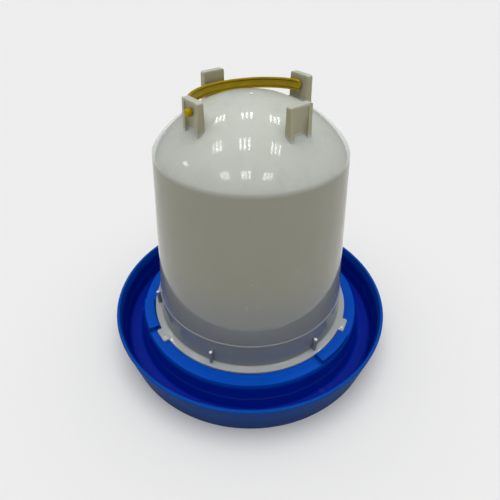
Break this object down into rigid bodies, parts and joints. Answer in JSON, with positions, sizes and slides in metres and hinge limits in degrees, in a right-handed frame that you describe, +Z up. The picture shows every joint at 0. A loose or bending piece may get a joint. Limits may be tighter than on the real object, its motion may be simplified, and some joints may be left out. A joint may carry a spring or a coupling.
{
  "type": "poultry waterer",
  "caption": "Bell-shaped drinking-water fount with legs and a folding strap handle on its dome, twist-locked onto a round open drinking tray.",
  "frame": {"origin": "centre of the tray's foot ring, on the surface it stands on", "axes": "+Z up the axis of the fount; X along the handle's pegs; +Y towards the leg the handle is folded against"},
  "size_m": [0.3646, 0.3646, 0.3307],
  "materials": {
    "tray": "moulded blue polypropylene, semi-gloss",
    "fount": "moulded translucent white polyethylene, semi-gloss",
    "handle": "moulded ochre-yellow polypropylene, semi-gloss"
  },
  "bodies": {
    "tray": {"base_tray": "tray"},
    "fount": {"fount": "fount"},
    "handle": {"carry_handle": "handle"}
  },
  "joints": [
    {"name": "fount_twist", "type": "hinge", "parent": "tray", "child": "fount", "pos_m": [0, 0, 0.0447], "axis": [0, 0, -1], "range_deg": [0, 22]},
    {"name": "handle_swing", "type": "hinge", "parent": "fount", "child": "handle", "pos_m": [0, 0, 0.3197], "axis": [1, 0, 0], "range_deg": [0, 190]}
  ]
}
